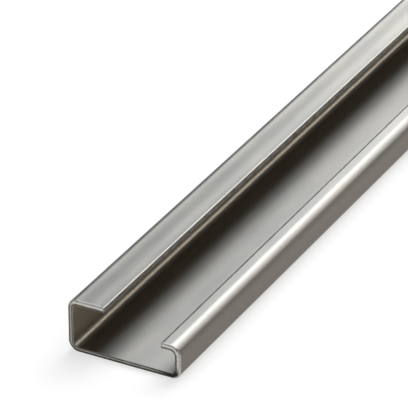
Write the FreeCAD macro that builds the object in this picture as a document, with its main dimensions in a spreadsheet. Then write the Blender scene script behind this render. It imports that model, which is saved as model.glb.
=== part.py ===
import FreeCAD, Part
import os

import Sketcher

# G-section mounting rail, unperforated, in one stock length.
#
# The rail is one steel strip folded four times along its length: a flat base, a deep wall at -X
# with a wide lip turned in over the base, and a shallow wall at +X with a narrow lip turned in.
# It lies on its base. X runs across the rail, Y along it and Z up. The origin is on the underside,
# in the middle of the width and of the length. All sizes are in millimetres.

NODE = "rail"

# alias, size, what it measures
SIZES = (
    ("rail_length", 1000.0, "stock length, along Y"),
    ("rail_width", 32.0, "outer face of the deep wall to outer face of the shallow wall"),
    ("deep_side", 15.0, "underside of the base to the top of the wide lip"),
    ("shallow_side", 9.5, "underside of the base to the top of the narrow lip"),
    ("wide_lip", 10.5, "outer face of the deep wall to the free edge of its lip"),
    ("narrow_lip", 5.5, "outer face of the shallow wall to the free edge of its lip"),
    ("strip", 1.5, "thickness of the strip"),
    ("wide_lip_bend", 1.0, "inner radius, deep wall to wide lip"),
    ("deep_base_bend", 1.5, "inner radius, base to deep wall"),
    ("shallow_base_bend", 0.9, "inner radius, base to shallow wall"),
    ("narrow_lip_bend", 1.5, "inner radius, shallow wall to narrow lip"),
    ("slit_roll", 0.4, "rounding of the lips' free edges on the outer side, rolled over in slitting"),
    ("slit_burr", 0.15, "rounding of the lips' free edges on the channel's side"),
)

START, END = 1, 2  # point numbers of a sketch element
X_AXIS = -1  # the sketch's own horizontal axis, whose start is the sketch's origin


def make_sheet(doc):
    """Spreadsheet of the driving sizes, one row each."""
    sheet = doc.addObject("Spreadsheet::Sheet", "Sizes")
    for row, (alias, size, meaning) in enumerate(SIZES, start=1):
        sheet.set(f"A{row}", alias)
        sheet.set(f"B{row}", str(size))
        sheet.set(f"C{row}", meaning)
        sheet.setAlias(f"B{row}", alias)
    doc.recompute()
    return sheet


def section_corners(sheet):
    """Corners of the folded strip before rounding, as (name, x, z, radius expression).

    They run from the wide lip's tip round the outside to the narrow lip's tip, and back inside.
    """
    deep_x = -sheet.rail_width / 2
    shallow_x = sheet.rail_width / 2
    wide_tip = deep_x + sheet.wide_lip
    narrow_tip = shallow_x - sheet.narrow_lip
    strip = sheet.strip
    return (
        ("wide_tip_top", wide_tip, sheet.deep_side, "Sizes.slit_roll"),
        ("wide_bend_outer", deep_x, sheet.deep_side, "Sizes.wide_lip_bend + Sizes.strip"),
        ("deep_base_outer", deep_x, 0.0, "Sizes.deep_base_bend + Sizes.strip"),
        ("shallow_base_outer", shallow_x, 0.0, "Sizes.shallow_base_bend + Sizes.strip"),
        ("narrow_bend_outer", shallow_x, sheet.shallow_side, "Sizes.narrow_lip_bend + Sizes.strip"),
        ("narrow_tip_top", narrow_tip, sheet.shallow_side, "Sizes.slit_roll"),
        ("narrow_tip_under", narrow_tip, sheet.shallow_side - strip, "Sizes.slit_burr"),
        ("narrow_bend_inner", shallow_x - strip, sheet.shallow_side - strip, "Sizes.narrow_lip_bend"),
        ("shallow_base_inner", shallow_x - strip, strip, "Sizes.shallow_base_bend"),
        ("deep_base_inner", deep_x + strip, strip, "Sizes.deep_base_bend"),
        ("wide_bend_inner", deep_x + strip, sheet.deep_side - strip, "Sizes.wide_lip_bend"),
        ("wide_tip_under", wide_tip, sheet.deep_side - strip, "Sizes.slit_burr"),
    )


def radius_now(sheet, expression):
    """Value of a radius expression, a sum of sizes, for the sketch's first drawing."""
    return sum(getattr(sheet, term.strip().split(".")[1]) for term in expression.split("+"))


def unit_step(start, end):
    """Direction from one corner to the next."""
    step = end - start
    return step / step.Length


def draw_outline(sketch, sheet):
    """Draws a line between each two corners and an arc at each, joined tangentially.

    Returns the elements' numbers: sides by the corner that each starts from, and arcs by corner.
    """
    corners = section_corners(sheet)
    names = [corner[0] for corner in corners]
    points = [FreeCAD.Vector(corner[1], corner[2], 0) for corner in corners]
    radii = [radius_now(sheet, corner[3]) for corner in corners]
    count = len(corners)
    sides, arcs = {}, {}
    for i, name in enumerate(names):
        after = (i + 1) % count
        along = unit_step(points[i], points[after])
        start = points[i] + along * radii[i]
        end = points[after] - along * radii[after]
        sides[name] = sketch.addGeometry(Part.LineSegment(start, end), False)
        direction = "Horizontal" if abs(along.x) > abs(along.y) else "Vertical"
        sketch.addConstraint(Sketcher.Constraint(direction, sides[name]))
    diagonal = 0.5 ** 0.5
    for i, name in enumerate(names):
        into = unit_step(points[i - 1], points[i])
        out = unit_step(points[i], points[(i + 1) % count])
        centre = points[i] + (out - into) * radii[i]
        middle = centre + (into - out) * radii[i] * diagonal
        arc = Part.Arc(points[i] - into * radii[i], middle, points[i] + out * radii[i])
        arcs[name] = sketch.addGeometry(arc, False)
    return names, sides, arcs


def arc_ends(sketch, arc, line_end):
    """Point numbers of an arc: first the end that lies at line_end, then the other one."""
    near_start = sketch.getPoint(arc, START).distanceToPoint(line_end)
    near_end = sketch.getPoint(arc, END).distanceToPoint(line_end)
    return (START, END) if near_start < near_end else (END, START)


def join_outline(sketch, names, sides, arcs):
    """Joins each arc tangentially to the side before it and the side after it."""
    for i, name in enumerate(names):
        before, after, arc = sides[names[i - 1]], sides[name], arcs[name]
        first, last = arc_ends(sketch, arc, sketch.getPoint(before, END))
        sketch.addConstraint(Sketcher.Constraint("Tangent", before, END, arc, first))
        sketch.addConstraint(Sketcher.Constraint("Tangent", arc, last, after, START))


def bind(sketch, constraint, name, expression):
    """Adds a named size to the sketch and ties it to the sheet."""
    index = sketch.addConstraint(constraint)
    sketch.renameConstraint(index, name)
    sketch.setExpression(f"Constraints.{name}", expression)


def size_outline(sketch, sheet, sides, arcs):
    """Radius of each bend, then the place of each of the twelve sides."""
    for name, _, _, expression in section_corners(sheet):
        radius = Sketcher.Constraint("Radius", arcs[name], radius_now(sheet, expression))
        bind(sketch, radius, f"{name}_radius", expression)

    deep_outer, deep_inner = sides["wide_bend_outer"], sides["deep_base_inner"]
    shallow_outer, shallow_inner = sides["shallow_base_outer"], sides["narrow_bend_inner"]
    underside, floor = sides["deep_base_outer"], sides["shallow_base_inner"]
    wide_top, wide_under = sides["wide_tip_top"], sides["wide_bend_inner"]
    narrow_top, narrow_under = sides["narrow_bend_outer"], sides["narrow_tip_under"]
    wide_edge, narrow_edge = sides["wide_tip_under"], sides["narrow_tip_top"]

    sketch.addConstraint(Sketcher.Constraint("PointOnObject", underside, START, X_AXIS))
    across = (
        ("half_width", deep_outer, X_AXIS, sheet.rail_width / 2, "Sizes.rail_width / 2"),
        ("width", deep_outer, shallow_outer, sheet.rail_width, "Sizes.rail_width"),
        ("deep_wall", deep_outer, deep_inner, sheet.strip, "Sizes.strip"),
        ("shallow_wall", shallow_inner, shallow_outer, sheet.strip, "Sizes.strip"),
        ("wide_lip", deep_outer, wide_edge, sheet.wide_lip, "Sizes.wide_lip"),
        ("narrow_lip", narrow_edge, shallow_outer, sheet.narrow_lip, "Sizes.narrow_lip"),
    )
    for name, left, right, size, expression in across:
        distance = Sketcher.Constraint("DistanceX", left, START, right, START, size)
        bind(sketch, distance, name, expression)
    upright = (
        ("base", underside, floor, sheet.strip, "Sizes.strip"),
        ("deep_side", underside, wide_top, sheet.deep_side, "Sizes.deep_side"),
        ("wide_lip_strip", wide_under, wide_top, sheet.strip, "Sizes.strip"),
        ("shallow_side", underside, narrow_top, sheet.shallow_side, "Sizes.shallow_side"),
        ("narrow_lip_strip", narrow_under, narrow_top, sheet.strip, "Sizes.strip"),
    )
    for name, low, high, size, expression in upright:
        distance = Sketcher.Constraint("DistanceY", low, START, high, START, size)
        bind(sketch, distance, name, expression)


def origin_plane(body, role):
    """One of the body's own origin planes."""
    return next(plane for plane in body.Origin.OriginFeatures if plane.Role == role)


def make_rail(doc, sheet):
    """The folded strip: its section across the rail, padded both ways from mid-length."""
    body = doc.addObject("PartDesign::Body", "Rail")
    body.Label = NODE
    section = body.newObject("Sketcher::SketchObject", "FoldedSection")
    section.AttachmentSupport = [(origin_plane(body, "XZ_Plane"), "")]
    section.MapMode = "FlatFace"
    doc.recompute()
    names, sides, arcs = draw_outline(section, sheet)
    join_outline(section, names, sides, arcs)
    size_outline(section, sheet, sides, arcs)
    doc.recompute()

    stock = body.newObject("PartDesign::Pad", "StockLength")
    stock.Profile = section
    stock.SideType = "Symmetric"
    stock.setExpression("Length", "Sizes.rail_length")
    return body


def check(doc, bodies):
    """Stops before anything is written if an object failed or a shape isn't a valid solid."""
    for item in doc.Objects:
        if {"Invalid", "Error"} & set(item.State):
            raise RuntimeError(f"{item.Label} failed: {item.State}")
    for body in bodies:
        if body.Shape.isNull() or not body.Shape.isValid() or len(body.Shape.Solids) != 1:
            raise RuntimeError(f"{body.Label} isn't one valid solid")


def main():
    doc = FreeCAD.newDocument("MountingRail")
    sheet = make_sheet(doc)
    bodies = [make_rail(doc, sheet)]
    doc.recompute()
    check(doc, bodies)
    os.makedirs("parts", exist_ok=True)
    for body in bodies:
        body.Shape.exportStep(f"parts/{body.Label}.step")
        box = body.Shape.BoundBox
        print(
            f"{body.Label}: {box.XLength:.3f} x {box.YLength:.3f} x {box.ZLength:.3f} mm,"
            f" from z {box.ZMin:.3f}, {body.Shape.Volume / 1000:.3f} cm3"
        )


main()
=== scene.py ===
"""A folded G-section mounting rail on a white studio floor.

The rail is one zinc-plated steel strip. It is folded here as it is on the rolls, flat by flat and
bend by bend, pulled to its stock length, and its slit edges and cut ends are eased.
Everything is in metres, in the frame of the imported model.
"""
import logging
import math
from collections import Counter
from dataclasses import dataclass
from enum import Enum

import bmesh
import bpy
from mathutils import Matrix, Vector


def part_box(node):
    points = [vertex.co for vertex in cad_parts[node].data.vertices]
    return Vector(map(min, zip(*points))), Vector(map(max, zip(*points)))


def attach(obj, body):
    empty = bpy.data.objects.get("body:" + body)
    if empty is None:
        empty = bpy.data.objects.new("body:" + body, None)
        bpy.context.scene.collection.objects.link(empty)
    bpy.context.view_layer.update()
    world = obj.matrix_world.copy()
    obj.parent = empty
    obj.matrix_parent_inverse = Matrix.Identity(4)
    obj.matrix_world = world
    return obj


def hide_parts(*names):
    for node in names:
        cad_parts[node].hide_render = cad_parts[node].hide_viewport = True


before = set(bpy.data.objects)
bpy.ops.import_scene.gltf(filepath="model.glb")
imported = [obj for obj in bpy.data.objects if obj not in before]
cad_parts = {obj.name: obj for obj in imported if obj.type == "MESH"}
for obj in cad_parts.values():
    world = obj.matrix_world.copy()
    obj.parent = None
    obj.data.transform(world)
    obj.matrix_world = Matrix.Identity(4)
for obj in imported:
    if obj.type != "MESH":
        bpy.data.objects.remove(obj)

logging.basicConfig(level=logging.INFO, format="%(message)s")
LOG = logging.getLogger("mounting_rail")

Socket = bpy.types.NodeSocket
Place = tuple[float, float, float]
Colour = tuple[float, float, float]
Knot = tuple[float, float]
Ends = tuple[Knot, Knot]
OpenEdge = list[bmesh.types.BMEdge]

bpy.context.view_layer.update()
MM = 0.001
ACROSS = "across_strip"
ABOVE_UNDERSIDE: Ends = ((1.1 * MM, 0.0), (1.2 * MM, 1.0))
COOL_LIGHT: Colour = (0.94, 1.0, 1.08)
WARM_LIGHT: Colour = (1.0, 0.97, 0.92)

# A Mix node has several sockets of each name, so those for colours go by their numbers.
MIX_SHARE, MIX_FIRST, MIX_SECOND, MIX_RESULT = 0, 6, 7, 2


class Face(Enum):
    """The kinds of surface on the strip, by material index."""

    ROLLED = 0
    SLIT = 1
    CUT = 2
    # Lighter copy of the rolled-over skin at the cut ends: painted light where it faces up or towards +X.
    RIM = 3
    # Darker copy of that skin elsewhere, and a line atop the narrow lip: painted shade and reflection.
    BURR = 4


@dataclass(frozen=True)
class Spot:
    """The point that is shaded: its place, how far across the rail it lies, and how high."""

    place: Socket
    across: Socket
    height: Socket


class Shading:
    """A material or world node tree that is wired by short calls."""

    def __init__(self, owner: bpy.types.ID) -> None:
        """Starts an empty tree.

        Args:
            owner: The material or world whose nodes are built.
        """
        owner.use_nodes = True
        self.tree = owner.node_tree
        self.tree.nodes.clear()

    def node(
        self, kind: str, values: dict[str, object] | None = None, **settings: object
    ) -> bpy.types.Node:
        """Adds a node.

        Args:
            kind: The node's type name.
            values: What its inputs hold, by the inputs' names.
            settings: Properties of the node, by name.

        Returns:
            The new node.
        """
        made = self.tree.nodes.new(kind)
        for name, setting in settings.items():
            setattr(made, name, setting)
        for name, value in (values or {}).items():
            made.inputs[name].default_value = value
        return made

    def link(self, source: Socket, target: bpy.types.Node, name: str | int) -> None:
        """Joins an output socket to a node's input, which goes by its name or number."""
        self.tree.links.new(source, target.inputs[name])

    def place(self) -> Socket:
        """Returns the shaded point's place on the rail, in metres."""
        return self.node("ShaderNodeTexCoord").outputs["Object"]

    def spot(self) -> Spot:
        """Reads where the shaded point is.

        Returns:
            The point.
        """
        place = self.place()
        split = self.node("ShaderNodeSeparateXYZ")
        self.link(place, split, "Vector")
        return Spot(place, across=split.outputs["X"], height=split.outputs["Z"])

    def ramp(self, value: Socket, ends: Ends) -> Socket:
        """Maps a value from one range to another, clamped at both ends.

        Args:
            value: The value to map.
            ends: The lowest value and the highest, each with what it becomes.

        Returns:
            The mapped value.
        """
        (low, low_result), (high, high_result) = ends
        limits = {"From Min": low, "To Min": low_result, "From Max": high, "To Max": high_result}
        mapped = self.node("ShaderNodeMapRange", limits)
        self.link(value, mapped, "Value")
        return mapped.outputs["Result"]

    def ease(self, value: Socket, ends: Ends) -> Socket:
        """Maps a value like ramp, but with a soft start and end.

        Args:
            value: The value to map.
            ends: The lowest value and the highest, each with what it becomes.

        Returns:
            The mapped value.
        """
        mapped = self.ramp(value, ends)
        mapped.node.interpolation_type = "SMOOTHSTEP"
        return mapped

    def curve(self, value: Socket, knots: tuple[Knot, ...]) -> Socket:
        """Maps a value between 0 and 1 through straight stretches between knots.

        Args:
            value: The value to map.
            knots: The knots, each a value and what it becomes.

        Returns:
            The mapped value.
        """
        mapped = self.node("ShaderNodeFloatCurve")
        points = mapped.mapping.curves[0].points
        for knot in knots[len(points):]:
            points.new(*knot)
        for point, knot in zip(points, knots):
            point.location = knot
            point.handle_type = "VECTOR"
        mapped.mapping.update()
        self.link(value, mapped, "Value")
        return mapped.outputs["Value"]

    def calculate(self, operation: str, *values: Socket | float) -> Socket:
        """Adds a math node.

        Args:
            operation: The node's operation.
            values: Its inputs in order, sockets or plain numbers.

        Returns:
            The result.
        """
        made = self.node("ShaderNodeMath", operation=operation)
        for number, value in enumerate(values):
            if isinstance(value, Socket):
                self.link(value, made, number)
            else:
                made.inputs[number].default_value = value
        return made.outputs[0]

    def product(self, first: Socket, *others: Socket) -> Socket:
        """Multiplies values with each other.

        Args:
            first: The first value.
            others: The other values.

        Returns:
            Their product.
        """
        result = first
        for other in others:
            result = self.calculate("MULTIPLY", result, other)
        return result

    def blend(self, share: Socket, first: Socket | Colour, second: Colour) -> Socket:
        """Mixes two colours.

        Args:
            share: The share of the second colour.
            first: The first colour, linear, or a socket that gives it.
            second: The second colour, linear.

        Returns:
            The mixed colour.
        """
        mix = self.node("ShaderNodeMix", data_type="RGBA")
        self.link(share, mix, MIX_SHARE)
        if isinstance(first, Socket):
            self.link(first, mix, MIX_FIRST)
        else:
            mix.inputs[MIX_FIRST].default_value = (*first, 1.0)
        mix.inputs[MIX_SECOND].default_value = (*second, 1.0)
        return mix.outputs[MIX_RESULT]

    def metal(self, colour: Socket) -> bpy.types.Node:
        """Makes a metal the material's surface.

        Args:
            colour: The metal's colour.

        Returns:
            The metal's shader.
        """
        surface = self.node("ShaderNodeBsdfPrincipled", {"Metallic": 1.0})
        self.link(colour, surface, "Base Color")
        self.finish(surface)
        return surface

    def bump(self, height: Socket, surface: bpy.types.Node) -> None:
        """Gives a surface relief.

        Args:
            height: The relief's height in metres.
            surface: The shader that gets the relief.
        """
        relief = self.node("ShaderNodeBump", {"Strength": 1.0, "Distance": 1.0})
        self.link(height, relief, "Height")
        self.link(relief.outputs["Normal"], surface, "Normal")

    def finish(self, surface: bpy.types.Node, output: str = "ShaderNodeOutputMaterial") -> None:
        """Makes a shader the surface, through the output node of that type."""
        self.link(surface.outputs[0], self.node(output), "Surface")


@dataclass(frozen=True)
class Noise:
    """Noise that is drawn out along the rail.

    The cells are how many there are in a metre, along each axis. The spread is the range that is
    drawn out to the one wanted, and what lies outside it counts as its ends.
    """

    cells: Place
    detail: float
    spread: tuple[float, float] = (0.3, 0.7)

    def value(self, shading: Shading, place: Socket) -> Socket:
        """Adds the noise.

        Args:
            shading: The tree that it is added to.
            place: The coordinates that the noise reads, in metres.

        Returns:
            The noise's value, near 0.5 on average.
        """
        mapping = shading.node("ShaderNodeMapping", {"Scale": self.cells})
        shading.link(place, mapping, "Vector")
        noise = shading.node("ShaderNodeTexNoise", {"Scale": 1.0, "Detail": self.detail})
        shading.link(mapping.outputs["Vector"], noise, "Vector")
        return noise.outputs["Fac"]

    def between(self, shading: Shading, value: Socket, low: float, high: float) -> Socket:
        """Returns the noise's value with its spread drawn out from low to high."""
        return shading.ramp(value, ((self.spread[0], low), (self.spread[1], high)))


@dataclass(frozen=True)
class LipForm:
    """How the wide lip's top is out of flat: it leans back by a degree, and is bowed and crowned."""

    above: float = 14.5 * MM
    middle: float = -11.0 * MM
    lean: float = 0.02
    bow: float = 1.8
    crown: float = 0.032 * MM
    crown_width: float = 6.3 * MM
    crown_start: float = -14.0 * MM

    def relief(self, shading: Shading, spot: Spot) -> Socket:
        """Adds the lip's form.

        Args:
            shading: The tree that it is added to.
            spot: The shaded point.

        Returns:
            How far the lip's top rises, in metres, and 0 elsewhere.
        """
        turns = math.tau / self.crown_width
        phase = shading.calculate("MULTIPLY_ADD", spot.across, -turns, self.crown_start * turns)
        crowned = shading.calculate("MULTIPLY", shading.calculate("SINE", phase), self.crown)
        leaning = shading.calculate("MULTIPLY_ADD", spot.across, self.lean, crowned)
        aside = shading.calculate("SUBTRACT", spot.across, self.middle)
        bowed = shading.calculate("MULTIPLY", shading.product(aside, aside), self.bow)
        on_lip = shading.calculate("GREATER_THAN", spot.height, self.above)
        return shading.product(shading.calculate("ADD", leaning, bowed), on_lip)


@dataclass(frozen=True)
class ChannelFloor:
    """The channel's floor: it is dished, rises softly into the deep wall's bend, and is darkened.

    The darkened band beside that bend, under the wide lip, is painted shade. The form and the
    shade fade out up the walls.
    """

    run_in: Ends = ((-14.6 * MM, 0.6 * MM), (-10.4 * MM, 0.0))
    dish: Ends = ((-7.5 * MM, 0.46 * MM), (2.6 * MM, 0.0))
    # Painted shade: where the darkened band beside the deep wall's bend starts and ends.
    shade_start: Ends = ((-13.2 * MM, 0.0), (-12.0 * MM, 1.0))
    shade_end: Ends = ((-9.0 * MM, 1.0), (-5.5 * MM, 0.0))
    up_the_walls: Ends = ((3.5 * MM, 1.0), (12.5 * MM, 0.0))

    def inside(self, shading: Shading, spot: Spot) -> Socket:
        """Returns 1 on the floor, fading to 0 up the walls, and 0 on the underside."""
        above = shading.ramp(spot.height, ABOVE_UNDERSIDE)
        return shading.product(above, shading.ease(spot.height, self.up_the_walls))

    def relief(self, shading: Shading, spot: Spot) -> Socket:
        """Returns how far the floor rises, in metres."""
        rises = [shading.ease(spot.across, form) for form in (self.run_in, self.dish)]
        return shading.product(shading.calculate("ADD", *rises), self.inside(shading, spot))

    def painted_shade(self, shading: Shading, spot: Spot) -> Socket:
        """Returns how far the floor is darkened by painted shade, from 0 to 1."""
        sides = [shading.ease(spot.across, side) for side in (self.shade_start, self.shade_end)]
        return shading.product(*sides, self.inside(shading, spot))


@dataclass(frozen=True)
class InnerWall:
    """The stretch that is the deep wall's inner side, beside the channel and below the lip, which gets
    painted light.
    """

    outer_side: Ends = ((-15.4 * MM, 0.0), (-15.2 * MM, 1.0))
    channel: Ends = ((-13.9 * MM, 1.0), (-13.6 * MM, 0.0))
    below_lip: Ends = ((13.6 * MM, 1.0), (14.0 * MM, 0.0))

    def share(self, shading: Shading, spot: Spot) -> Socket:
        """Tells where the wall's inner side is.

        Args:
            shading: The tree that gets the nodes.
            spot: The shaded point.

        Returns:
            1 on the wall's inner side and 0 elsewhere.
        """
        across = [shading.ramp(spot.across, side) for side in (self.outer_side, self.channel)]
        upright = [shading.ramp(spot.height, side) for side in (ABOVE_UNDERSIDE, self.below_lip)]
        return shading.product(*across, *upright)


@dataclass(frozen=True)
class ZincPlate:
    """Thin satin zinc on rolled strip: a fine grain, with faint streaks and tints along the rail.

    Painted shade makes the outer skin of both walls darker and brownish, painted light makes the
    inner side of the deep wall brighter, and painted shade makes the channel's floor darker brown
    beside the deep wall's bend.
    """

    name: str = "zinc_plate"
    cool: Colour = (0.262, 0.254, 0.236)
    warm: Colour = (0.3, 0.283, 0.252)
    # Painted shade on the outer walls: it stands in for the dim floor that they reflect.
    painted_wall_shade: Colour = (0.178, 0.156, 0.131)
    # Painted shade on the channel floor beside the deep wall's bend, under the wide lip.
    painted_channel_shade: Colour = (0.15, 0.127, 0.09)
    # Painted light on the deep wall's inner side, which is made brighter than the plate.
    painted_inner_wall_light: Colour = (0.42, 0.375, 0.315)
    roughness: tuple[float, float] = (0.37, 0.54)
    grain: Noise = Noise((5200.0, 2600.0, 5200.0), detail=2.0)
    clouds: Noise = Noise((210.0, 55.0, 210.0), detail=2.0)
    streaks: Noise = Noise((620.0, 16.0, 620.0), detail=3.0)
    streak_depth: float = 1.0e-5
    outer_walls: Ends = ((15.5 * MM, 0.0), (15.95 * MM, 1.0))
    inner_wall: InnerWall = InnerWall()
    channel_floor: ChannelFloor = ChannelFloor()
    lip: LipForm = LipForm()

    def make(self) -> bpy.types.Material:
        """Makes the plated strip's material.

        Returns:
            The material.
        """
        material = bpy.data.materials.new(self.name)
        shading = Shading(material)
        spot = shading.spot()
        surface = shading.metal(self.colour(shading, spot))
        grain = self.grain.value(shading, spot.place)
        shading.link(self.grain.between(shading, grain, *self.roughness), surface, "Roughness")
        forms = [form.relief(shading, spot) for form in (self.lip, self.channel_floor)]
        shape = shading.calculate("ADD", *forms)
        streaks = self.streaks.value(shading, spot.place)
        shading.bump(shading.calculate("MULTIPLY_ADD", streaks, self.streak_depth, shape), surface)
        return material

    def colour(self, shading: Shading, spot: Spot) -> Socket:
        """Adds the plate's tints, and the painted shade and painted light on its walls and channel floor.

        Args:
            shading: The tree that they are added to.
            spot: The shaded point.

        Returns:
            The plate's colour.
        """
        clouds = self.clouds.value(shading, spot.place)
        plate = shading.blend(self.clouds.between(shading, clouds, 0.0, 1.0), self.cool, self.warm)
        # Painted shade: the outer walls are blended towards a darker brownish colour.
        on_walls = shading.ramp(shading.calculate("ABSOLUTE", spot.across), self.outer_walls)
        with_wall_shade = shading.blend(on_walls, plate, self.painted_wall_shade)
        # Painted shade: the channel floor beside the deep wall's bend is blended darker brown.
        with_channel_shade = shading.blend(self.channel_floor.painted_shade(shading, spot), with_wall_shade, self.painted_channel_shade)
        # Painted light: the deep wall's inner side is blended brighter.
        return shading.blend(self.inner_wall.share(shading, spot), with_channel_shade, self.painted_inner_wall_light)


@dataclass(frozen=True)
class ShearedSteel:
    """Steel at the cut end: a burnished strip on the outer side and a dark torn one by the channel.

    The strips follow the mesh's own layer across the strip's thickness. On the deep wall and the
    base the outer skin is painted dark as shade, and the base's inner corner by the shallow wall is
    painted black as shadow.
    """

    name: str = "cut_end"
    burnished: Colour = (0.56, 0.54, 0.5)
    torn: Colour = (0.11, 0.104, 0.088)
    # Painted shadow: the near-black that the base's end and its corner are blended towards.
    painted_shadow: Colour = (0.03, 0.028, 0.024)
    roughness: tuple[float, float] = (0.36, 0.6)
    strips: tuple[Knot, ...] = ((0.0, 0.0), (0.46, 0.05), (0.6, 0.95), (1.0, 1.0))
    shaded_skin: tuple[Knot, ...] = ((0.0, 1.0), (0.3, 1.0), (0.42, 0.0), (1.0, 0.0))
    grain: Noise = Noise((1400.0, 1400.0, 1400.0), detail=4.0, spread=(0.25, 0.75))
    grain_depth: float = 7.0e-6
    wobble: float = 0.14
    base: Ends = ((1.6 * MM, 1.0), (3.6 * MM, 0.0))
    deep_wall: Ends = ((-14.6 * MM, 0.75), (-13.9 * MM, 0.0))
    under_lip: Ends = ((13.4 * MM, 1.0), (14.4 * MM, 0.0))
    corner: Ends = ((7.0 * MM, 0.0), (12.5 * MM, 1.0))

    def make(self) -> bpy.types.Material:
        """Makes the cut end's material.

        Returns:
            The material.
        """
        material = bpy.data.materials.new(self.name)
        shading = Shading(material)
        spot = shading.spot()
        grain = self.grain.value(shading, spot.place)
        ragged = self.grain.between(shading, grain, -self.wobble, self.wobble)
        through = shading.node("ShaderNodeAttribute", attribute_name=ACROSS).outputs["Fac"]
        layer = shading.calculate("ADD", through, ragged)
        torn = shading.curve(layer, self.strips)
        steel = shading.blend(torn, self.burnished, self.torn)
        surface = shading.metal(shading.blend(self.painted_shadow_share(shading, spot, layer), steel, self.painted_shadow))
        smooth, rough = self.roughness
        shading.link(shading.ramp(torn, ((0.0, smooth), (1.0, rough))), surface, "Roughness")
        shading.bump(shading.calculate("MULTIPLY", grain, self.grain_depth), surface)
        return material

    def painted_shadow_share(self, shading: Shading, spot: Spot, layer: Socket) -> Socket:
        """Adds the painted shade on the outer skin and the painted shadow in the base's corner.

        Args:
            shading: The tree that they are added to.
            spot: The shaded point.
            layer: How far through the strip it lies, from 0 on the outer skin to 1 in the channel.

        Returns:
            How dark the end is painted as shade and shadow, from 0 to 1.
        """
        # Painted shade and shadow: darker low on the base, on the deep wall's outer skin, and in the
        # corner.
        base = shading.ramp(spot.height, self.base)
        under_lip = shading.ramp(spot.height, self.under_lip)
        deep_wall = shading.product(shading.ramp(spot.across, self.deep_wall), under_lip)
        shaded_side = shading.calculate("MAXIMUM", base, deep_wall)
        shaded_skin_share = shading.product(shading.curve(layer, self.shaded_skin), shaded_side)
        corner = shading.product(shading.ramp(spot.across, self.corner), base)
        return shading.calculate("MAXIMUM", shaded_skin_share, corner)


@dataclass(frozen=True)
class WornSteel:
    """Grainy bare steel, as on the slit edges and where the skin is rolled over at a cut end."""

    name: str
    light: Colour
    dark: Colour
    roughness: float = 0.45
    grain: Noise = Noise((1300.0, 420.0, 1300.0), detail=4.0, spread=(0.35, 0.65))
    grain_depth: float = 7.0e-6

    def make(self) -> bpy.types.Material:
        """Makes the worn steel's material.

        Returns:
            The material.
        """
        material = bpy.data.materials.new(self.name)
        shading = Shading(material)
        grain = self.grain.value(shading, shading.place())
        lightness = self.grain.between(shading, grain, 0.0, 1.0)
        surface = shading.metal(shading.blend(lightness, self.dark, self.light))
        surface.inputs["Roughness"].default_value = self.roughness
        shading.bump(shading.calculate("MULTIPLY", grain, self.grain_depth), surface)
        return material


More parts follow.
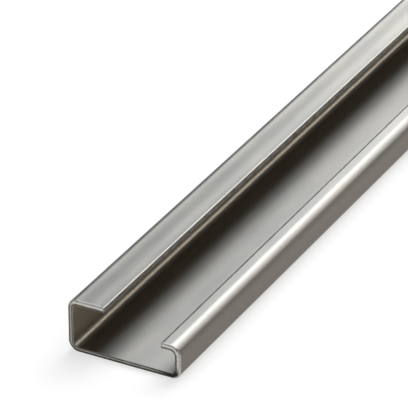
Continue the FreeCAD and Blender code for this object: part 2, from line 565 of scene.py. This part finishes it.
@dataclass
class FoldedRail:
    """The rail's strip: a wide lip, deep wall, base, shallow wall and narrow lip in one fold."""

    length: float
    width: float
    deep_side: float
    shallow_side: float = 9.5 * MM
    wide_lip: float = 10.5 * MM
    narrow_lip: float = 5.5 * MM
    strip: float = 1.5 * MM
    wide_lip_bend: float = 1.0 * MM
    deep_base_bend: float = 1.5 * MM
    shallow_base_bend: float = 0.9 * MM
    narrow_lip_bend: float = 1.5 * MM
    slit_roll: float = 0.4 * MM
    slit_burr: float = 0.15 * MM
    end_roll: float = 0.45 * MM
    end_burr: float = 0.1 * MM
    # Width of a painted dark reflection along the top of the narrow lip, at its tip.
    painted_dark_line: float = 0.62 * MM
    bend_steps: int = 12
    slit_steps: int = 5
    roll_steps: int = 6
    touching: float = 0.001 * MM
    facing: float = 0.3
    corner_angle: float = math.radians(60)
    smooth_angle: float = math.radians(40)
    flat_weight: int = 100

    def fold(self) -> bmesh.types.BMesh:
        """Folds the strip's section at the near end, from the wide lip's tip to the narrow one's.

        Returns:
            A mesh of the section's faces, in the plane of the near end. Its ACROSS layer runs from 0
            on the strip's outer skin to 1 on the channel's side.
        """
        mesh = bmesh.new()
        across = mesh.verts.layers.float.new(ACROSS)
        wide_tip, _ = self.tips()
        outer = bmesh.ops.create_vert(mesh, co=(wide_tip, -self.length / 2, self.deep_side))["vert"]
        grown = bmesh.ops.extrude_vert_indiv(mesh, verts=outer)
        inner, edge = grown["verts"], grown["edges"]
        bmesh.ops.translate(mesh, verts=inner, vec=(0.0, 0.0, -self.strip))
        inner[0][across] = 1.0

        left, right = Vector((-1, 0, 0)), Vector((1, 0, 0))
        down, up = Vector((0, 0, -1)), Vector((0, 0, 1))
        bends = (self.wide_lip_bend, self.deep_base_bend, self.shallow_base_bend, self.narrow_lip_bend)
        allowances = [bend + self.strip for bend in bends]
        flats = (
            (left, self.wide_lip - allowances[0]),
            (down, self.deep_side - allowances[0] - allowances[1]),
            (right, self.width - allowances[1] - allowances[2]),
            (up, self.shallow_side - allowances[2] - allowances[3]),
        )
        for (heading, flat), bend in zip(flats, bends):
            edge = self.push(mesh, edge, heading * flat)
            edge = self.bend(mesh, edge, heading, bend)
        # The narrow lip's last strip is split off to carry a painted dark reflection.
        edge = self.push(mesh, edge, left * (self.narrow_lip - allowances[3] - self.painted_dark_line))
        self.push(mesh, edge, left * self.painted_dark_line)
        return mesh

    @staticmethod
    def push(mesh: bmesh.types.BMesh, edge: OpenEdge, step: Vector) -> OpenEdge:
        """Grows a flat from the strip's open edge.

        Args:
            mesh: The section so far.
            edge: The strip's open edge, across its thickness.
            step: The way and length of the flat.

        Returns:
            The new open edge.
        """
        grown = bmesh.ops.extrude_edge_only(mesh, edges=edge)["geom"]
        corners = [item for item in grown if isinstance(item, bmesh.types.BMVert)]
        bmesh.ops.translate(mesh, verts=corners, vec=step)
        return [e for e in grown if isinstance(e, bmesh.types.BMEdge) and set(e.verts) <= set(corners)]

    def bend(
        self, mesh: bmesh.types.BMesh, edge: OpenEdge, heading: Vector, inner_radius: float
    ) -> OpenEdge:
        """Folds the strip a quarter turn towards the channel.

        Args:
            mesh: The section so far.
            edge: The strip's open edge, across its thickness.
            heading: The way the strip runs before the bend.
            inner_radius: The bend's radius on the channel's side.

        Returns:
            The new open edge.
        """
        axis = Vector((0, -1, 0))
        towards_channel = axis.cross(heading)
        middle = sum((v.co for v in edge[0].verts), Vector()) / 2
        swept = bmesh.ops.spin(
            mesh,
            geom=[*edge, *edge[0].verts],
            cent=middle + towards_channel * (inner_radius + self.strip / 2),
            axis=axis,
            angle=math.pi / 2,
            steps=self.bend_steps,
            use_duplicate=False,
        )["geom_last"]
        return [item for item in swept if isinstance(item, bmesh.types.BMEdge)]

    def pull(self, mesh: bmesh.types.BMesh) -> None:
        """Draws the section out to the stock length.

        Args:
            mesh: The folded section, which becomes the rail's closed body.
        """
        grown = bmesh.ops.extrude_face_region(mesh, geom=mesh.faces[:], use_keep_orig=True)["geom"]
        far = [item for item in grown if isinstance(item, bmesh.types.BMVert)]
        bmesh.ops.translate(mesh, verts=far, vec=(0.0, self.length, 0.0))
        bmesh.ops.recalc_face_normals(mesh, faces=mesh.faces)

    def tips(self) -> tuple[float, float]:
        """Returns where the wide lip and the narrow lip end, across the rail."""
        return -self.width / 2 + self.wide_lip, self.width / 2 - self.narrow_lip

    def off_tip(self, point: Vector) -> float:
        """Returns how far across the rail a point lies from where the nearer lip ends."""
        return min(abs(point.x - tip) for tip in self.tips())

    def is_outside(self, point: Vector) -> bool:
        """Tells whether a point of the strip's surface is on its outer side.

        Args:
            point: The point.

        Returns:
            False on the side that faces the channel, and True elsewhere.
        """
        skin = self.strip / 2
        over_wide = point.z > self.deep_side - skin
        over_narrow = point.x > 0 and point.z > self.shallow_side - skin
        return over_wide or over_narrow or abs(point.x) > self.width / 2 - skin or point.z < skin

    def is_slit_corner(self, edge: bmesh.types.BMEdge, outside: bool) -> bool:
        """Tells whether an edge is a sharp corner of a slit edge.

        Args:
            edge: The edge.
            outside: True for the corner on the strip's outer side, and False for the other one.

        Returns:
            True where it is that corner.
        """
        start, end = (vert.co for vert in edge.verts)
        along = abs(start.y - end.y) > self.length / 2
        at_tip = self.off_tip(start) < self.slit_burr / 2
        turned = edge.calc_face_angle(0.0) > self.corner_angle
        return along and at_tip and turned and self.is_outside(start) == outside

    def round_slit_edges(self, mesh: bmesh.types.BMesh) -> None:
        """Rounds the two slit edges: rolled over on the outer side, nearly sharp on the channel's.

        Args:
            mesh: The rail's closed body.
        """
        for outside, radius in ((True, self.slit_roll), (False, self.slit_burr)):
            bmesh.ops.bevel(
                mesh,
                geom=[e for e in mesh.edges if self.is_slit_corner(e, outside)],
                offset=radius,
                offset_type="OFFSET",
                affect="EDGES",
                segments=self.slit_steps,
                profile=0.5,
                material=-1,
                clamp_overlap=True,
            )

    def roll_ends(self, mesh: bmesh.types.BMesh) -> None:
        """Rolls the skin over at both cut ends, as the shear's blade does, and eases the far side.

        Args:
            mesh: The rail's closed body, with its slit edges rounded.
        """
        for step in range(1, self.roll_steps + 1):
            back = self.end_roll * (1.0 - math.cos(math.pi / 2 * step / self.roll_steps))
            for end in (-1, 1):
                bmesh.ops.bisect_plane(
                    mesh,
                    geom=[*mesh.verts, *mesh.edges, *mesh.faces],
                    plane_co=(0.0, end * (self.length / 2 - back), 0.0),
                    plane_no=(0.0, 1.0, 0.0),
                )
        across = mesh.verts.layers.float[ACROSS]
        mesh.normal_update()
        for vert in mesh.verts:
            radius = self.end_roll + (self.end_burr - self.end_roll) * vert[across]
            short = radius - (self.length / 2 - abs(vert.co.y))
            if short > 0:
                inward = -Vector((vert.normal.x, 0.0, vert.normal.z)).normalized()
                vert.co += inward * (radius - math.sqrt(max(radius**2 - short**2, 0.0)))

    def kind_of(self, face: bmesh.types.BMFace) -> Face:
        """Tells which kind of surface a face is.

        Args:
            face: A face of the rail.

        Returns:
            Its kind. The rolled-over skin at an end gets a lighter copy as painted light where it faces up
            or towards +X, and a darker copy as painted shade elsewhere, as does a painted dark reflection
            on top of the narrow lip.
        """
        centre = face.calc_center_median()
        back = self.length / 2 - abs(centre.y)
        upward = face.normal.z > self.facing
        if back < self.touching:
            return Face.CUT
        if back < self.end_roll and self.is_outside(centre):
            # Painted light and shade: the rolled-over skin is lighter where it faces up or towards +X.
            return Face.RIM if upward or face.normal.x > self.facing else Face.BURR
        if self.off_tip(centre) < self.touching:
            return Face.SLIT
        _, narrow_tip = self.tips()
        # A painted dark reflection along the top of the narrow lip, by its tip.
        on_line = narrow_tip < centre.x < narrow_tip + self.painted_dark_line
        return Face.BURR if on_line and upward and self.is_outside(centre) else Face.ROLLED

    def build(self, finishes: dict[Face, bpy.types.Material]) -> bpy.types.Object:
        """Builds and dresses the rail.

        Args:
            finishes: The material for each kind of surface.

        Returns:
            The rail's object, at the origin.
        """
        mesh = self.fold()
        self.pull(mesh)
        self.round_slit_edges(mesh)
        self.roll_ends(mesh)
        for face in mesh.faces:
            face.material_index = self.kind_of(face).value
            face.smooth = True
        for edge in mesh.edges:
            edge.smooth = edge.calc_face_angle(0.0) < self.smooth_angle
        data = bpy.data.meshes.new("rail_strip")
        mesh.to_mesh(data)
        mesh.free()
        rail = bpy.data.objects.new("rail_strip", data)
        bpy.context.scene.collection.objects.link(rail)
        for kind in Face:
            data.materials.append(finishes[kind])
        weighted = rail.modifiers.new("flat_faces_stay_flat", "WEIGHTED_NORMAL")
        weighted.keep_sharp = True
        weighted.weight = self.flat_weight
        return rail


@dataclass(frozen=True)
class Softbox:
    """A square soft lamp that faces a point. Both are given from the rail's near end."""

    name: str
    place: Place
    side: float
    radiance: float
    aim: Place = (0.0, 0.1, 0.01)

    def build(self, near_end: Vector) -> bpy.types.Object:
        """Makes the lamp, unseen by the camera.

        Args:
            near_end: The middle of the rail's near end, on the floor.

        Returns:
            The lamp.
        """
        data = bpy.data.lights.new(self.name, "AREA")
        data.shape = "SQUARE"
        data.size = self.side
        data.energy = self.radiance * math.pi * self.side**2
        lamp = bpy.data.objects.new(self.name, data)
        lamp.visible_camera = False
        lamp.location = near_end + Vector(self.place)
        lamp.rotation_mode = "QUATERNION"
        lamp.rotation_quaternion = (Vector(self.place) - Vector(self.aim)).to_track_quat("Z", "Y")
        bpy.context.scene.collection.objects.link(lamp)
        return lamp


@dataclass(frozen=True)
class Glow:
    """A soft-edged bright patch of the studio's dome.

    The azimuth runs from +Y towards +X, and the patch fades from its core to its rim, all in degrees.
    """

    azimuth: float
    height: float
    core: float
    rim: float
    radiance: float
    colour: Colour

    def heading(self) -> Vector:
        """Returns the way to the middle of the patch."""
        around, up = math.radians(self.azimuth), math.radians(self.height)
        return Vector((math.sin(around) * math.cos(up), math.cos(around) * math.cos(up), math.sin(up)))

    def light(self, shading: Shading, way: Socket) -> bpy.types.Node:
        """Adds the patch to the dome's tree.

        Args:
            shading: The dome's tree.
            way: The direction that a ray leaves in.

        Returns:
            The patch's background shader.
        """
        facing = shading.node("ShaderNodeVectorMath", operation="DOT_PRODUCT")
        shading.link(way, facing, 0)
        facing.inputs[1].default_value = self.heading()
        rim, core = math.cos(math.radians(self.rim)), math.cos(math.radians(self.core))
        patch = shading.ease(facing.outputs["Value"], ((rim, 0.0), (core, self.radiance)))
        background = shading.node("ShaderNodeBackground", {"Color": (*self.colour, 1.0)})
        shading.link(patch, background, "Strength")
        return background


@dataclass
class Studio:
    """A white floor under a dark dome with soft patches of light on it, and two soft lamps."""

    near_end: Vector
    floor_side: float = 120.0
    floor_colour: Colour = (0.99, 0.95, 0.9)
    floor_white: float = 0.6
    dome_colour: Colour = (1.0, 0.9, 0.6)
    dome_radiance: float = 0.025
    glows: tuple[Glow, ...] = (
        Glow(azimuth=-2.0, height=46.0, core=15.0, rim=28.0, radiance=3.1, colour=COOL_LIGHT),
        Glow(azimuth=26.0, height=28.0, core=9.0, rim=18.0, radiance=3.3, colour=WARM_LIGHT),
        Glow(azimuth=-25.0, height=66.0, core=12.0, rim=30.0, radiance=1.9, colour=COOL_LIGHT),
        Glow(azimuth=180.0, height=35.0, core=45.0, rim=92.0, radiance=0.56, colour=COOL_LIGHT),
    )
    softboxes: tuple[Softbox, ...] = (
        Softbox("high_softbox", place=(0.0, 0.7, 0.587), side=0.28, radiance=5.5),
        Softbox("low_softbox", place=(-0.133, 0.534, 0.2), side=0.16, radiance=2.8),
    )

    def build(self) -> None:
        """Builds the floor, the dome and the lamps."""
        self.floor()
        self.sky()
        for softbox in self.softboxes:
            softbox.build(self.near_end)

    def floor(self) -> bpy.types.Object:
        """Makes the floor.

        Returns:
            The floor, which isn't part of the rail.
        """
        mesh = bmesh.new()
        bmesh.ops.create_grid(mesh, x_segments=1, y_segments=1, size=self.floor_side / 2)
        data = bpy.data.meshes.new("floor")
        mesh.to_mesh(data)
        mesh.free()
        data.materials.append(self.paper())
        floor = bpy.data.objects.new("floor", data)
        bpy.context.scene.collection.objects.link(floor)
        return floor

    def paper(self) -> bpy.types.Material:
        """Makes the floor's material.

        Returns:
            A material that is white to the eye and in reflections, and keeps the rail's shadow.
        """
        material = bpy.data.materials.new("floor_white")
        shading = Shading(material)
        rays = shading.node("ShaderNodeLightPath").outputs
        seen = shading.calculate("MAXIMUM", rays["Is Camera Ray"], rays["Is Glossy Ray"])
        seen = shading.calculate("MAXIMUM", seen, rays["Is Transmission Ray"])
        white = shading.node("ShaderNodeEmission")
        diffuse = shading.node("ShaderNodeBsdfDiffuse", {"Color": (*self.floor_colour, 1.0)})
        mix = shading.node("ShaderNodeMixShader")
        shading.link(shading.ramp(seen, ((0.0, 0.0), (1.0, self.floor_white))), mix, 0)
        shading.link(diffuse.outputs[0], mix, 1)
        shading.link(white.outputs[0], mix, 2)
        shading.finish(mix)
        return material

    def sky(self) -> None:
        """Lights the scene from a dark dome with soft bright patches."""
        world = bpy.data.worlds.new("studio_dome")
        bpy.context.scene.world = world
        shading = Shading(world)
        way = shading.node("ShaderNodeTexCoord").outputs["Generated"]
        dark = {"Color": (*self.dome_colour, 1.0), "Strength": self.dome_radiance}
        light = shading.node("ShaderNodeBackground", dark)
        for glow in self.glows:
            both = shading.node("ShaderNodeAddShader")
            shading.link(light.outputs[0], both, 0)
            shading.link(glow.light(shading, way).outputs[0], both, 1)
            light = both
        shading.finish(light, "ShaderNodeOutputWorld")


@dataclass(frozen=True)
class Viewpoint:
    """The photograph's camera. It looks at a point that is given from the rail's near end.

    The yaw and the pitch are in degrees, and the lens and the sensor in millimetres.
    """

    yaw: float = 27.866
    pitch: float = 29.098
    aim: Place = (-21.02 * MM, 82.63 * MM, 0.0)
    distance: float = 948.04 * MM
    lens: float = 308.66
    sensor: float = 36.0
    nearest: float = 0.05
    farthest: float = 400.0

    def build(self, near_end: Vector) -> bpy.types.Object:
        """Makes the camera the scene's own.

        Args:
            near_end: The middle of the rail's near end, on the floor.

        Returns:
            The camera.
        """
        yaw, pitch = math.radians(self.yaw), math.radians(self.pitch)
        back = Vector((math.sin(yaw) * math.cos(pitch), -math.cos(yaw) * math.cos(pitch), math.sin(pitch)))
        data = bpy.data.cameras.new("camera")
        data.lens = self.lens
        data.sensor_width = self.sensor
        data.clip_start, data.clip_end = self.nearest, self.farthest
        camera = bpy.data.objects.new("camera", data)
        camera.location = near_end + Vector(self.aim) + back * self.distance
        camera.rotation_mode = "QUATERNION"
        camera.rotation_quaternion = back.to_track_quat("Z", "Y")
        bpy.context.scene.collection.objects.link(camera)
        bpy.context.scene.camera = camera
        return camera


def make_finishes() -> dict[Face, bpy.types.Material]:
    """Returns the material for each kind of surface on the strip."""
    return {
        Face.ROLLED: ZincPlate().make(),
        Face.SLIT: WornSteel("slit_edge", light=(0.42, 0.4, 0.37), dark=(0.17, 0.155, 0.13)).make(),
        Face.CUT: ShearedSteel().make(),
        # A lighter copy of the rolled-over skin at the cut ends, as painted light.
        Face.RIM: WornSteel("end_rim_painted_light", light=(0.52, 0.505, 0.465), dark=(0.34, 0.33, 0.3)).make(),
        # A darker copy of that skin as painted shade, also used for a painted dark reflection on the
        # narrow lip.
        Face.BURR: WornSteel("end_burr", light=(0.14, 0.137, 0.12), dark=(0.05, 0.048, 0.042)).make(),
    }


def open_edges(data: bpy.types.Mesh) -> int:
    """Returns how many edges don't lie between two faces, which is none in a closed mesh."""
    faces_at = Counter(key for face in data.polygons for key in face.edge_keys)
    return sum(1 for faces in faces_at.values() if faces != 2)


def main() -> None:
    """Builds the rail, its studio and its camera, and reports the rail."""
    bpy.context.scene.view_settings.view_transform = "Standard"
    low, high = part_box("rail")
    strip = FoldedRail(length=high.y - low.y, width=high.x - low.x, deep_side=high.z - low.z)
    rail = strip.build(make_finishes())
    LOG.info("%s: %d faces, %d open edges", rail.name, len(rail.data.polygons), open_edges(rail.data))
    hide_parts("rail")
    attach(rail, "root")
    near_end = Vector((0.0, low.y, 0.0))
    Studio(near_end).build()
    Viewpoint().build(near_end)


if __name__ == "__main__":
    main()
